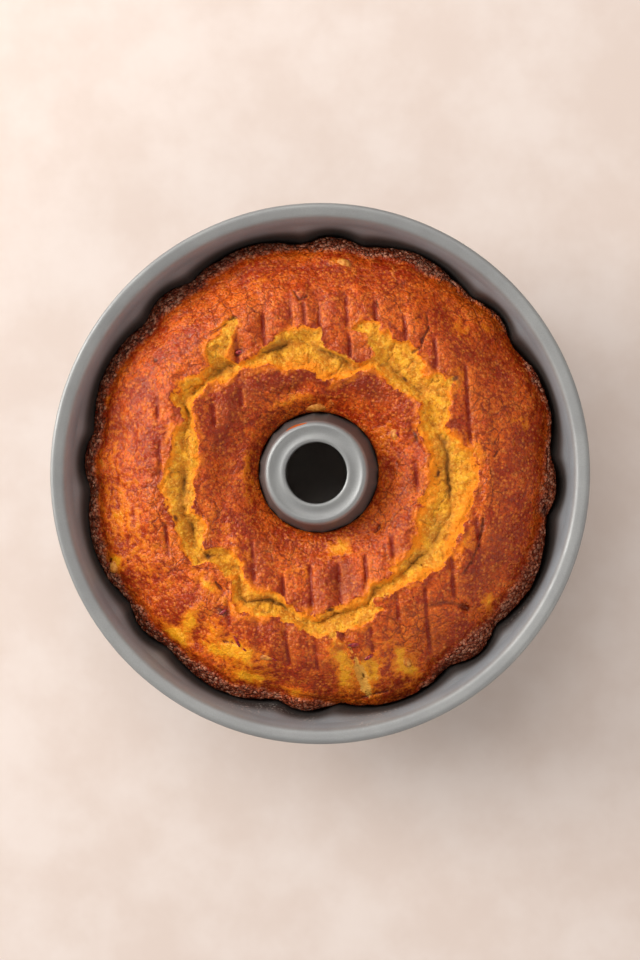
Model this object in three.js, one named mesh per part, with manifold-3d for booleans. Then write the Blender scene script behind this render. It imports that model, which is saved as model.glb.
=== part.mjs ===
// A fluted tube pan with a ring-shaped pound cake baked in it, and pieces of peach that show
// through the crust. Millimetres, +Z up. The origin is the centre of the pan's footprint, on the
// surface that the pan stands on. Angles run anticlockwise from +X.

import * as THREE from 'three';
import { mergeVertices } from 'three/addons/utils/BufferGeometryUtils.js';
import Module from 'manifold-3d';

const wasm = await Module();
wasm.setup();

// ---- Driving dimensions -------------------------------------------------------------------

// The pan, measured on the side of the sheet that faces the cake
const SHEET = 1;                 // thickness of the pressed sheet
const RIM_RADIUS = 125;          // outside of the rolled rim
const RIM_HEIGHT = 85;           // top of the rolled rim
const ROLL_RADIUS = 1.9;         // of the sheet's curl at the rim
const LIP_WIDTH = 3.2;           // of the flat band inside the curl
const LIP_DROP = 0.7;            // that the band falls towards the cake
const COLLAR_HEIGHT = 75;        // where the smooth collar meets the fluted wall
const COLLAR_RADIUS = 116.2;
const WALL_DRAFT = 5;            // degrees
const WALL_FOOT_HEIGHT = 36;     // where the wall starts to curve into the base
const BASE_OUTER_RADIUS = 90;    // the flat pads that the pan stands on lie between
const BASE_INNER_RADIUS = 74;    // these two radii
const TUBE_FOOT_HEIGHT = 24;     // where the base has curved up into the tube
const TUBE_TOP = 88;
const TUBE_SHOULDER_RADIUS = 23.2;
const TUBE_DRAFT = 14;           // degrees
const HOLE_RADIUS = 14.2;        // of the hole down through the tube
const HOLE_FLANGE = 5;           // depth of the flange turned down round the hole
const TUBE_GROOVE = 1.2;         // depth of the hollow in the tube's top ring

// The flutes: wide and narrow ones take turns round the pan
const FLUTE_PAIRS = 8;
const NARROW_HALF = 7;           // degrees from a narrow flute's crest to its creases
const NARROW_CREST = 0.88;       // its height, where a wide flute's is 1
const BASE_FLUTE_DEPTH = 10.5;   // creases stand this far in from the crests
const WALL_FLUTE_POWER = 0.6;    // how soon the creases deepen below the collar
const TUBE_FLUTE_POWER = 1.6;    // how fast they fade up the tube
const WIDE_STEPS = 6;            // facets across a wide flute

// The cake
const PAN_GAP = 0.35;            // left between the cake and the pan under it
const EDGE_RADIUS = 112.5;
const EDGE_HEIGHT = 60;
const EDGE_DRIFT = 1.2;          // the shrunk cake has moved this far over
const EDGE_DRIFT_ANGLE = 158;    // degrees, where it has moved to
const TUBE_EDGE_HEIGHT = 70.5;
const TUBE_EDGE_GAP = 1.2;       // the cake has drawn back from the tube
const CROWN_RADIUS = 79;         // the ring's highest line
const CROWN_HEIGHT = 84.6;
const INNER_CROWN_RADIUS = 55;
const CRACK_RADIUS = 63;         // the crack that runs round the crown
const CRACK_SWAY = 4.5;          // it runs nearer the tube on one side
const CRACK_SWAY_ANGLE = 230;    // degrees, where it lies farthest out
const CRACK_DEPTH = 4;
const CRACK_WIDTH = 6;
const CROWN_SWELL = 0.9;         // unevenness of the risen top

// Peach pieces: angle and radius of the middle, length, width, height, the length's direction
// from the radius in degrees, and how far the top stands over the crust
const PEACH_PIECES = [
  { angle: 95, radius: 31.8, size: [10, 4.2, 5], turn: 90, proud: 0.5 },
  { angle: 86.3, radius: 98.8, size: [9, 5.6, 6], turn: 78, proud: 0.7 },
  { angle: 207.5, radius: 106.3, size: [8, 6, 6], turn: 25, proud: 0.8 },
  { angle: 298.5, radius: 95.5, size: [9.5, 5, 5], turn: 8, proud: 0.5 },
  { angle: 258, radius: 88.3, size: [8.6, 4.2, 5], turn: 96, proud: 0.6 },
  { angle: 29.5, radius: 40.6, size: [7, 5, 5], turn: 75, proud: 0.7 },
];
const PEACH_CLEARANCE = 0.35;    // round each piece, in its pocket in the cake
const PEACH_LUMP = 0.12;         // unevenness of a piece, as a share of its size

const radians = THREE.MathUtils.degToRad;
const { clamp, smoothstep } = THREE.MathUtils;
const section = (radius, height) => new THREE.Vector2(radius, height);

// ---- The pan's section --------------------------------------------------------------------

// The section along the flute crests, from the flange in the hole to the end of the rim's curl.
// Each entry is a curve and the number of facets along it.
function panCurves() {
  const tubeSlope = Math.tan(radians(TUBE_DRAFT));
  const wallSlope = Math.tan(radians(WALL_DRAFT));

  const flangeEnd = section(HOLE_RADIUS, TUBE_TOP - HOLE_FLANGE - 1);
  const flangeTop = section(HOLE_RADIUS, TUBE_TOP - 1.4);
  const beadTop = section(HOLE_RADIUS + 1.6, TUBE_TOP - 0.4);
  const ringTop = section(TUBE_SHOULDER_RADIUS - 1.8, TUBE_TOP);
  const grooveWay = section((beadTop.x + ringTop.x) / 2, TUBE_TOP - 2 * TUBE_GROOVE);
  const coneTop = section(TUBE_SHOULDER_RADIUS + 0.5, TUBE_TOP - 2);
  const shoulder = section(coneTop.x - 2 * tubeSlope, TUBE_TOP);
  const coneFoot = section(coneTop.x + (coneTop.y - TUBE_FOOT_HEIGHT) * tubeSlope, TUBE_FOOT_HEIGHT);

  const baseInner = section(BASE_INNER_RADIUS, SHEET);
  const baseOuter = section(BASE_OUTER_RADIUS, SHEET);
  const innerCorner = section(coneFoot.x + (TUBE_FOOT_HEIGHT - SHEET) * tubeSlope, SHEET);
  const wallTop = section(COLLAR_RADIUS, COLLAR_HEIGHT);
  const wallFoot = section(
    COLLAR_RADIUS - (COLLAR_HEIGHT - WALL_FOOT_HEIGHT) * wallSlope, WALL_FOOT_HEIGHT);
  const outerCorner = section(wallFoot.x - (WALL_FOOT_HEIGHT - SHEET) * wallSlope, SHEET);

  const rollCentre = section(RIM_RADIUS - ROLL_RADIUS, RIM_HEIGHT - ROLL_RADIUS);
  const lipOuter = section(rollCentre.x, RIM_HEIGHT);
  const lipInner = section(lipOuter.x - LIP_WIDTH, RIM_HEIGHT - LIP_DROP);
  const collarCorner = section(
    wallTop.x + (lipInner.y - wallTop.y) * wallSlope, lipInner.y - LIP_DROP);
  const roll = new THREE.EllipseCurve(
    rollCentre.x, rollCentre.y, ROLL_RADIUS, ROLL_RADIUS, radians(90), radians(-110), true);

  const line = (from, to) => new THREE.LineCurve(from, to);
  const bend = (from, corner, to) => new THREE.QuadraticBezierCurve(from, corner, to);
  return [
    { curve: line(flangeEnd, flangeTop), steps: 1 },
    { curve: bend(flangeTop, section(flangeTop.x, beadTop.y), beadTop), steps: 1 },
    { curve: bend(beadTop, grooveWay, ringTop), steps: 2 },
    { curve: bend(ringTop, shoulder, coneTop), steps: 1 },
    { curve: line(coneTop, coneFoot), steps: 2 },
    { curve: bend(coneFoot, innerCorner, baseInner), steps: 3 },
    { curve: line(baseInner, baseOuter), steps: 1 },
    { curve: bend(baseOuter, outerCorner, wallFoot), steps: 3 },
    { curve: line(wallFoot, wallTop), steps: 2 },
    { curve: bend(wallTop, collarCorner, lipInner), steps: 2 },
    { curve: line(lipInner, lipOuter), steps: 1 },
    { curve: roll, steps: 3 },
  ];
}

// Points along the section, each with the direction that faces the cake
function panSamples() {
  const samples = [];
  const curves = panCurves();
  for (const { curve, steps } of curves) {
    for (let step = 0; step < steps; step++) {
      samples.push(sectionSample(curve, step / steps));
    }
  }
  samples.push(sectionSample(curves.at(-1).curve, 1));
  return samples;
}

function sectionSample(curve, t) {
  const along = curve.getTangent(t);
  return { point: curve.getPoint(t), facing: section(-along.y, along.x) };
}

// ---- Flutes -------------------------------------------------------------------------------

const PAIR_ANGLE = 360 / FLUTE_PAIRS;
const WIDE_HALF = PAIR_ANGLE / 2 - NARROW_HALF;
const PAD_HALF = 2 * WIDE_HALF / WIDE_STEPS;

// Angles of the facets' corners round the pan: a narrow flute's crest, then a wide flute
function facetAngles() {
  const angles = [];
  for (let pair = 0; pair < FLUTE_PAIRS; pair++) {
    const narrowCrest = pair * PAIR_ANGLE;
    angles.push(narrowCrest);
    for (let step = 0; step <= WIDE_STEPS; step++) {
      angles.push(narrowCrest + NARROW_HALF + step * 2 * WIDE_HALF / WIDE_STEPS);
    }
  }
  return angles;
}

// 1 on a wide flute's crest and 0 in the creases; padShare flattens the crest where the pan stands
function fluteCrest(angle, padShare) {
  const fromCrest = THREE.MathUtils.euclideanModulo(angle, PAIR_ANGLE);
  const fromNarrow = Math.min(fromCrest, PAIR_ANGLE - fromCrest);
  if (fromNarrow < NARROW_HALF) return NARROW_CREST * (1 - (fromNarrow / NARROW_HALF) ** 2);
  const pad = PAD_HALF * padShare;
  const fromWide = Math.max(0, PAIR_ANGLE / 2 - fromNarrow - pad);
  return 1 - (fromWide / (WIDE_HALF - pad)) ** 2;
}

// How far the creases stand in from the crests at a point of the section
function fluteDepth(point) {
  if (point.x < BASE_INNER_RADIUS) {
    const fade = clamp(1 - (point.y - SHEET) / (TUBE_TOP - 4), 0, 1);
    return BASE_FLUTE_DEPTH * fade ** TUBE_FLUTE_POWER;
  }
  const below = clamp((COLLAR_HEIGHT - point.y) / (COLLAR_HEIGHT - SHEET), 0, 1);
  return BASE_FLUTE_DEPTH * below ** WALL_FLUTE_POWER;
}

// A point of the fluted section at an angle, moved towards the cake by offset
function flutedPoint(sample, angle, offset) {
  const { point, facing } = sample;
  const padShare = clamp(1 - (point.y - SHEET) / 10, 0, 1);
  const inward = offset + fluteDepth(point) * (1 - fluteCrest(angle, padShare));
  return section(point.x + facing.x * inward, point.y + facing.y * inward);
}

// ---- Closed rings -------------------------------------------------------------------------

// A ring from its closed section at each angle, the section running clockwise in radius and
// height. Skins that run outwards and back inwards are split along the same diagonals, so that
// they stay parallel.
function ringGeometry(sectionAt) {
  const angles = facetAngles();
  const positions = [];
  const index = [];
  let count = 0;
  angles.forEach((angle, turn) => {
    const outline = sectionAt(angle);
    count = outline.length;
    const next = (turn + 1) % angles.length;
    outline.forEach(({ x: radius, y: height }, place) => {
      positions.push(radius * Math.cos(radians(angle)), radius * Math.sin(radians(angle)), height);
      const here = turn * count;
      const there = next * count;
      const after = (place + 1) % count;
      if (outline[after].x > radius) {
        index.push(here + place, here + after, there + after);
        index.push(here + place, there + after, there + place);
      } else {
        index.push(here + place, here + after, there + place);
        index.push(here + after, there + after, there + place);
      }
    });
  });
  const geometry = new THREE.BufferGeometry();
  geometry.setAttribute('position', new THREE.Float32BufferAttribute(positions, 3));
  geometry.setIndex(index);
  return geometry;
}

// ---- Pan ----------------------------------------------------------------------------------

function panGeometry() {
  const samples = panSamples();
  return ringGeometry((angle) => {
    const inside = samples.map((sample) => flutedPoint(sample, angle, 0));
    const outside = samples.map((sample) => flutedPoint(sample, angle, -SHEET));
    return inside.concat(outside.reverse());
  });
}

// ---- Cake ---------------------------------------------------------------------------------

// Height of the risen top over the cake's section, before its edge follows the flutes
const crustCurve = new THREE.SplineCurve([
  section(27, TUBE_EDGE_HEIGHT - 2),
  section(40, 79.5),
  section(INNER_CROWN_RADIUS, CROWN_HEIGHT - 0.8),
  section(CROWN_RADIUS, CROWN_HEIGHT),
  section(98, 73),
  section(107, 66),
  section(EDGE_RADIUS, EDGE_HEIGHT),
]);
const CRUST_STEPS = 13;

// The top's height at a place, with the crack sunk into it
function crustHeight(radius, height, angle) {
  const turn = radians(angle);
  const crackRadius = CRACK_RADIUS + CRACK_SWAY * Math.cos(radians(angle - CRACK_SWAY_ANGLE));
  const crack = CRACK_DEPTH * Math.exp(-(((radius - crackRadius) / CRACK_WIDTH) ** 2));
  const swell = Math.sin(3 * turn + radius / 14) + 0.6 * Math.sin(5 * turn - radius / 9);
  const inland = smoothstep(EDGE_RADIUS - radius, 0, 20) * smoothstep(radius, 28, 40);
  return height - crack + CROWN_SWELL * swell * inland;
}

// The section of the cake at an angle: over the top from the tube, then back under it
function cakeSection(angle, underside) {
  const tubeSlope = Math.tan(radians(TUBE_DRAFT));
  const tubeRadius = TUBE_SHOULDER_RADIUS + 0.5 + (TUBE_TOP - 2 - TUBE_EDGE_HEIGHT) * tubeSlope;
  const tubeEdge = {
    point: section(tubeRadius, TUBE_EDGE_HEIGHT),
    facing: section(Math.cos(radians(TUBE_DRAFT)), Math.sin(radians(TUBE_DRAFT))),
  };
  const drift = EDGE_DRIFT * Math.cos(radians(angle - EDGE_DRIFT_ANGLE));
  const outerEdge = { point: section(EDGE_RADIUS + drift, EDGE_HEIGHT), facing: section(-1, 0) };
  const inner = flutedPoint(tubeEdge, angle, TUBE_EDGE_GAP);
  const outer = flutedPoint(outerEdge, angle, 0);

  const top = [inner];
  for (let step = 1; step < CRUST_STEPS; step++) {
    const { x, y } = crustCurve.getPoint(step / CRUST_STEPS);
    const across = smoothstep(x, CROWN_RADIUS, EDGE_RADIUS);
    const radius = x - (EDGE_RADIUS - outer.x) * across;
    top.push(section(radius, crustHeight(x, y, angle)));
  }
  top.push(outer);
  const below = underside.map((sample) => flutedPoint(sample, angle, PAN_GAP));
  return top.concat(below.reverse());
}

function cakeGeometry() {
  const isUnderCake = ({ point }) => point.x > TUBE_SHOULDER_RADIUS + 1 && point.y < EDGE_HEIGHT - 5;
  const underside = panSamples().filter(isUnderCake);
  return ringGeometry((angle) => cakeSection(angle, underside));
}

// ---- Peach pieces -------------------------------------------------------------------------

// An uneven chunk, lying in the crust with its top a little proud of it
function peachGeometry(piece, grow) {
  const geometry = new THREE.IcosahedronGeometry(1, 1);
  const position = geometry.getAttribute('position');
  const [length, width, height] = piece.size;
  for (let i = 0; i < position.count; i++) {
    const corner = new THREE.Vector3().fromBufferAttribute(position, i);
    const lump = 1 + PEACH_LUMP * Math.sin(3 * corner.x + 5 * corner.y + piece.angle);
    corner.multiply(new THREE.Vector3(length / 2 + grow, width / 2 + grow, height / 2 + grow));
    corner.multiplyScalar(lump);
    position.setXYZ(i, corner.x, corner.y, corner.z);
  }
  const top = crustTop(piece.radius, piece.angle);
  geometry.rotateZ(radians(piece.angle + piece.turn));
  geometry.translate(
    piece.radius * Math.cos(radians(piece.angle)),
    piece.radius * Math.sin(radians(piece.angle)),
    top + piece.proud - height / 2);
  return geometry;
}

// Height of the crust at a radius, found along the section's curve
function crustTop(radius, angle) {
  let low = 0;
  let high = 1;
  for (let halving = 0; halving < 20; halving++) {
    const middle = (low + high) / 2;
    if (crustCurve.getPoint(middle).x < radius) low = middle;
    else high = middle;
  }
  return crustHeight(radius, crustCurve.getPoint(low).y, angle);
}

// ---- Joining and cutting ------------------------------------------------------------------

function toSolid(geometry) {
  const bare = geometry.clone();
  bare.deleteAttribute('normal');
  bare.deleteAttribute('uv');
  const merged = mergeVertices(bare);
  return new wasm.Manifold(new wasm.Mesh({
    numProp: 3,
    vertProperties: new Float32Array(merged.getAttribute('position').array),
    triVerts: new Uint32Array(merged.getIndex().array),
  }));
}

function toGeometry(solid) {
  const mesh = solid.getMesh();
  const geometry = new THREE.BufferGeometry();
  geometry.setAttribute('position', new THREE.BufferAttribute(mesh.vertProperties, 3));
  geometry.setIndex(new THREE.BufferAttribute(mesh.triVerts, 1));
  return geometry;
}

// ---- Assembly -----------------------------------------------------------------------------

function named(name, geometry, material) {
  const mesh = new THREE.Mesh(geometry, material);
  mesh.name = name;
  return mesh;
}

const steel = new THREE.MeshStandardMaterial({ color: 0x8f8c89, roughness: 0.4, metalness: 0.9 });
const crust = new THREE.MeshStandardMaterial({ color: 0xa65328, roughness: 0.6, metalness: 0 });

const cakePan = new THREE.Group();
cakePan.add(named('pan', panGeometry(), steel));

let cake = toSolid(cakeGeometry());
PEACH_PIECES.forEach((piece, place) => {
  cake = cake.subtract(toSolid(peachGeometry(piece, PEACH_CLEARANCE)));
  const flesh = new THREE.MeshStandardMaterial({ color: 0xc8964e, roughness: 0.5, metalness: 0 });
  cakePan.add(named(`peach_piece_${place + 1}`, peachGeometry(piece, 0), flesh));
});
cakePan.add(named('cake', toGeometry(cake), crust));

export default cakePan;
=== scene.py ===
"""Peach pound cake in its fluted tube pan: the looks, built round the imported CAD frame.

Lengths are millimetres until a mesh is made. Angles are degrees, anticlockwise from +X.
"""

import math
from types import SimpleNamespace

import bpy
import numpy as np
from mathutils import Matrix, Vector


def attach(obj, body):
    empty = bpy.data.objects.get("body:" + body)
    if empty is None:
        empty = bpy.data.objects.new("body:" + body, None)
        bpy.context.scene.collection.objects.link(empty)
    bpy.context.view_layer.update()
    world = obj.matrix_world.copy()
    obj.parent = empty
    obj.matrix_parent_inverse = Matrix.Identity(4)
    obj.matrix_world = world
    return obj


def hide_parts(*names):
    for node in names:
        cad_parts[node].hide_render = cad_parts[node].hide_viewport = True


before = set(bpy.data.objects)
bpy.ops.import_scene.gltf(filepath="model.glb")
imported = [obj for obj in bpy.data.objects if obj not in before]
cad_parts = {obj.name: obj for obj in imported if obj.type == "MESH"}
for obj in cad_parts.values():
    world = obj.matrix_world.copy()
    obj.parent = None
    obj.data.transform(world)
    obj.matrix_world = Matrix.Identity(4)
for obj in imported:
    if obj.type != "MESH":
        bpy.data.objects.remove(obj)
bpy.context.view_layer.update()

MM = 0.001

# ---- Sizes, as in the CAD model ----

SHEET = 1.0
RIM_RADIUS = 125.0
RIM_HEIGHT = 85.0
ROLL_RADIUS = 1.9
LIP_WIDTH = 3.2
LIP_DROP = 0.7
COLLAR_HEIGHT = 75.0
COLLAR_RADIUS = 116.2
WALL_DRAFT = 5.0
WALL_FOOT_HEIGHT = 36.0
BASE_OUTER_RADIUS = 90.0
BASE_INNER_RADIUS = 74.0
TUBE_FOOT_HEIGHT = 24.0
TUBE_TOP = 88.0
TUBE_SHOULDER_RADIUS = 23.2
TUBE_DRAFT = 14.0
HOLE_RADIUS = 14.2
HOLE_FLANGE = 5.0
TUBE_GROOVE = 1.2

FLUTE_PAIRS = 8
NARROW_HALF = 7.0
NARROW_CREST = 0.88
BASE_FLUTE_DEPTH = 11.5
WALL_FLUTE_POWER = 0.55
TUBE_FLUTE_POWER = 1.6
CREASE_ROUNDING = 0.55
PAIR_ANGLE = 360 / FLUTE_PAIRS
WIDE_HALF = PAIR_ANGLE / 2 - NARROW_HALF
PAD_HALF = WIDE_HALF / 3

EDGE_RADIUS = 112.5
EDGE_HEIGHT = 60.0
TUBE_EDGE_HEIGHT = 70.5
CROWN_RADIUS = 79.0
CROWN_HEIGHT = 84.6
INNER_CROWN_RADIUS = 55.0
CROWN_SWELL = 0.9


# ---- Numbers ----

def smooth(low, high, value):
    """0 below low, 1 above high, smooth between."""
    t = np.clip((value - low) / (high - low), 0, 1)
    return t * t * (3 - 2 * t)


def bell(value, width):
    return np.exp(-(value / width) ** 2)


def mix(a, b, share):
    return a + (b - a) * share


def cosd(angle):
    return np.cos(np.radians(angle))


def sind(angle):
    return np.sin(np.radians(angle))


def lattice_noise(x, y, seed):
    """Smooth noise from -1 to 1 whose lumps are one unit across."""
    column = np.floor(x).astype(np.int64)
    row = np.floor(y).astype(np.int64)
    across = x - column
    up = y - row
    across = across * across * (3 - 2 * across)
    up = up * up * (3 - 2 * up)

    def corner(i, j):
        key = ((column + i) * 73856093) ^ ((row + j) * 19349663) ^ (seed * 83492791)
        key &= 0xFFFFFFFF
        key = ((key ^ (key >> 15)) * 0x2C1B3C6D) & 0xFFFFFFFF
        key = ((key ^ (key >> 12)) * 0x297A2D39) & 0xFFFFFFFF
        return ((key ^ (key >> 15)) & 0xFFFF) / 32767.5 - 1

    low = mix(corner(0, 0), corner(1, 0), across)
    high = mix(corner(0, 1), corner(1, 1), across)
    return mix(low, high, up)


def fractal(x, y, size, octaves, seed):
    """Noise from about -1 to 1 with lumps of the given size and finer ones on them."""
    total = 0
    share = 1.0
    for octave in range(octaves):
        scale = 2 ** octave / size
        # each octave is turned, so that the lattice never shows
        turn = 0.7 * octave + seed
        along = (x * math.cos(turn) - y * math.sin(turn)) * scale
        aside = (x * math.sin(turn) + y * math.cos(turn)) * scale
        total = total + share * lattice_noise(along, aside, seed + 31 * octave)
        share *= 0.5
    return total / (2 - 2 * share)


# ---- The pan's section and its flutes ----

def line(start, end, steps):
    t = np.arange(steps)[:, None] / steps
    start, end = np.array(start), np.array(end)
    along = np.repeat([end - start], steps, axis=0)
    return mix(start, end, t), along


def bend(start, corner, end, steps):
    """A smooth turn from start to end that leaves and arrives along the lines to corner."""
    t = np.arange(steps)[:, None] / steps
    start, corner, end = np.array(start), np.array(corner), np.array(end)
    points = (1 - t) ** 2 * start + 2 * t * (1 - t) * corner + t ** 2 * end
    along = 2 * (1 - t) * (corner - start) + 2 * t * (end - corner)
    return points, along


def arc(centre, radius, first, last, steps):
    angle = np.linspace(first, last, steps)
    points = np.column_stack([centre[0] + radius * cosd(angle), centre[1] + radius * sind(angle)])
    turn = np.sign(last - first)
    along = np.column_stack([-turn * sind(angle), turn * cosd(angle)])
    return points, along


def pan_section():
    """Points of the section along the flute crests, and the directions that face the cake."""
    tube_slope = math.tan(math.radians(TUBE_DRAFT))
    wall_slope = math.tan(math.radians(WALL_DRAFT))
    flange_end = (HOLE_RADIUS, TUBE_TOP - HOLE_FLANGE - 1)
    flange_top = (HOLE_RADIUS, TUBE_TOP - 1.4)
    bead_top = (HOLE_RADIUS + 1.6, TUBE_TOP - 0.4)
    ring_top = (TUBE_SHOULDER_RADIUS - 1.8, TUBE_TOP)
    groove_way = ((bead_top[0] + ring_top[0]) / 2, TUBE_TOP - 1.4 * TUBE_GROOVE)
    cone_top = (TUBE_SHOULDER_RADIUS + 0.5, TUBE_TOP - 2)
    shoulder = (cone_top[0] - 2 * tube_slope, TUBE_TOP)
    cone_foot = (cone_top[0] + (cone_top[1] - TUBE_FOOT_HEIGHT) * tube_slope, TUBE_FOOT_HEIGHT)
    base_inner = (BASE_INNER_RADIUS, SHEET)
    base_outer = (BASE_OUTER_RADIUS, SHEET)
    inner_corner = (cone_foot[0] + (TUBE_FOOT_HEIGHT - SHEET) * tube_slope, SHEET)
    wall_top = (COLLAR_RADIUS, COLLAR_HEIGHT)
    wall_foot = (COLLAR_RADIUS - (COLLAR_HEIGHT - WALL_FOOT_HEIGHT) * wall_slope, WALL_FOOT_HEIGHT)
    outer_corner = (wall_foot[0] - (WALL_FOOT_HEIGHT - SHEET) * wall_slope, SHEET)
    roll_centre = (RIM_RADIUS - ROLL_RADIUS, RIM_HEIGHT - ROLL_RADIUS)
    lip_outer = (roll_centre[0], RIM_HEIGHT)
    lip_inner = (lip_outer[0] - LIP_WIDTH, RIM_HEIGHT - LIP_DROP)
    collar_corner = (wall_top[0] + (lip_inner[1] - wall_top[1]) * wall_slope, lip_inner[1] - LIP_DROP)

    stretches = [
        line(flange_end, flange_top, 3),
        bend(flange_top, (flange_top[0], bead_top[1]), bead_top, 5),
        bend(bead_top, groove_way, ring_top, 10),
        bend(ring_top, shoulder, cone_top, 6),
        line(cone_top, cone_foot, 14),
        bend(cone_foot, inner_corner, base_inner, 14),
        line(base_inner, base_outer, 3),
        bend(base_outer, outer_corner, wall_foot, 14),
        line(wall_foot, wall_top, 18),
        bend(wall_top, collar_corner, lip_inner, 12),
        line(lip_inner, lip_outer, 3),
        arc(roll_centre, ROLL_RADIUS, 90, -110, 14),
    ]
    points = np.concatenate([stretch[0] for stretch in stretches])
    along = np.concatenate([stretch[1] for stretch in stretches])
    along /= np.linalg.norm(along, axis=1)[:, None]
    facing = np.column_stack([-along[:, 1], along[:, 0]])
    return points, facing


def flute_crest(angle, pad_share, rounding=CREASE_ROUNDING):
    """1 on a wide flute's crest, near 0 in the creases."""
    from_narrow = np.abs((angle + PAIR_ANGLE / 2) % PAIR_ANGLE - PAIR_ANGLE / 2)
    narrow = NARROW_CREST * (1 - (from_narrow / NARROW_HALF) ** 2)
    pad = PAD_HALF * pad_share
    wide = 1 - (np.maximum(0, PAIR_ANGLE / 2 - from_narrow - pad) / (WIDE_HALF - pad)) ** 2
    share = np.clip(0.5 + 0.5 * (wide - narrow) / rounding, 0, 1)
    return mix(narrow, wide, share) + rounding * share * (1 - share)


def flute_depth(radius, height):
    """How far the creases stand in from the crests at a point of the section."""
    fade = np.clip(1 - (height - SHEET) / (TUBE_TOP - 4), 0, 1)
    below = np.clip((COLLAR_HEIGHT - height) / (COLLAR_HEIGHT - SHEET), 0, 1)
    inner = BASE_FLUTE_DEPTH * fade ** TUBE_FLUTE_POWER
    outer = BASE_FLUTE_DEPTH * below ** WALL_FLUTE_POWER
    return np.where(radius < BASE_INNER_RADIUS, inner, outer)


def fluted(points, facing, angle, offset):
    """Radius and height of section points round the pan, moved towards the cake by offset."""
    radius = points[:, :1]
    height = points[:, 1:]
    pad_share = np.clip(1 - (height - SHEET) / 10, 0, 1)
    inward = offset + flute_depth(radius, height) * (1 - flute_crest(angle[None, :], pad_share))
    return radius + facing[:, :1] * inward, height + facing[:, 1:] * inward


# ---- Meshes ----

def ring_mesh(name, radius, height, angle, masks=None):
    """A closed ring from the radius and height of its section's points at each angle."""
    rings, turns = radius.shape
    co = np.stack([radius * cosd(angle), radius * sind(angle), height], axis=-1).reshape(-1, 3)
    place = np.arange(rings * turns).reshape(rings, turns)
    after = np.roll(place, -1, axis=0)
    beside = np.roll(place, -1, axis=1)
    beyond = np.roll(after, -1, axis=1)
    quads = np.stack([place, after, beyond, beside], axis=-1).reshape(-1, 4)
    return mesh_object(name, co, quads, masks)


def mesh_object(name, co, faces, masks=None):
    """An object from points in millimetres and faces that all have the same number of corners."""
    mesh = bpy.data.meshes.new(name)
    corners = faces.shape[1]
    mesh.vertices.add(len(co))
    mesh.vertices.foreach_set("co", (co * MM).ravel())
    mesh.loops.add(faces.size)
    mesh.loops.foreach_set("vertex_index", faces.ravel())
    mesh.polygons.add(len(faces))
    mesh.polygons.foreach_set("loop_start", np.arange(0, faces.size, corners))
    mesh.polygons.foreach_set("use_smooth", np.ones(len(faces), dtype=bool))
    mesh.update(calc_edges=True)
    mesh.validate()
    for mask, values in (masks or {}).items():
        layer = mesh.attributes.new(mask, "FLOAT", "POINT")
        layer.data.foreach_set("value", np.ascontiguousarray(values, dtype=np.float32).ravel())
    thing = bpy.data.objects.new(name, mesh)
    bpy.context.collection.objects.link(thing)
    return thing


# ---- Materials ----

def colour(red, green, blue):
    """A colour as seen on a screen, 0 to 255, as the shader's linear numbers."""
    shares = [channel / 255 for channel in (red, green, blue)]
    return [c / 12.92 if c <= 0.04045 else ((c + 0.055) / 1.055) ** 2.4 for c in shares] + [1.0]


class Surface:
    """A material under construction: short calls add nodes and return their outputs."""

    def __init__(self, name, **sockets):
        self.material = bpy.data.materials.new(name)
        self.material.use_nodes = True
        self.tree = self.material.node_tree
        self.shader = self.tree.nodes["Principled BSDF"]
        for socket, value in sockets.items():
            self.shader.inputs[socket.replace("_", " ")].default_value = value
        self.place = self.tree.nodes.new("ShaderNodeTexCoord").outputs["Object"]

    def node(self, kind, inputs=None, **properties):
        node = self.tree.nodes.new("ShaderNode" + kind)
        for key, value in properties.items():
            setattr(node, key, value)
        for socket, value in (inputs or {}).items():
            if isinstance(value, bpy.types.NodeSocket):
                self.tree.links.new(value, node.inputs[socket])
            else:
                node.inputs[socket].default_value = value
        return node

    def mask(self, name):
        return self.node("Attribute", attribute_name=name).outputs["Fac"]

    def noise(self, size, detail=2.0, roughness=0.5):
        """Noise from 0 to 1 with lumps of the given size in millimetres."""
        inputs = {"Vector": self.place, "Scale": 1 / (size * MM), "Detail": detail, "Roughness": roughness}
        return self.node("TexNoise", inputs).outputs["Fac"]

    def cells(self, size, feature="F1", place=None):
        """Distance to the nearest of many scattered points, or to the edge between two."""
        inputs = {"Vector": place or self.place, "Scale": 1 / (size * MM)}
        return self.node("TexVoronoi", inputs, feature=feature).outputs["Distance"]

    def maths(self, operation, *values):
        return self.node("Math", dict(enumerate(values)), operation=operation).outputs[0]

    def step(self, value, low, high, top=1.0, bottom=0.0):
        """bottom where the value is under low, top where it is over high, smooth between."""
        inputs = {"Value": value, "From Min": low, "From Max": high, "To Min": bottom, "To Max": top}
        return self.node("MapRange", inputs, interpolation_type="SMOOTHSTEP").outputs[0]

    def blend(self, share, below, above):
        return self.node("Mix", {0: share, 6: below, 7: above}, data_type="RGBA").outputs[2]

    def layers(self, tone, *rows):
        """The tone with screen colours over it: the value, low, high and top of a step, colour."""
        for *step, top in rows:
            tone = self.blend(self.step(*step), tone, colour(*top))
        return tone

    def times(self, first, second):
        return self.maths("MULTIPLY", first, second)

    def roughen(self, value, noise, spread):
        """The value made uneven by noise, by at most half the spread either way."""
        return self.maths("ADD", value, self.maths("MULTIPLY_ADD", noise, spread, -spread / 2))

    def link(self, value, socket):
        self.tree.links.new(value, self.shader.inputs[socket])

    def relief(self, layers):
        """Bump from (height, strength, distance in millimetres) layers, coarse to fine."""
        normal = None
        for height, strength, distance in layers:
            inputs = {"Height": height, "Strength": strength, "Distance": distance * MM}
            if normal is not None:
                inputs["Normal"] = normal
            normal = self.node("Bump", inputs).outputs["Normal"]
        self.link(normal, "Normal")


# ---- Camera, light and floor ----

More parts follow.
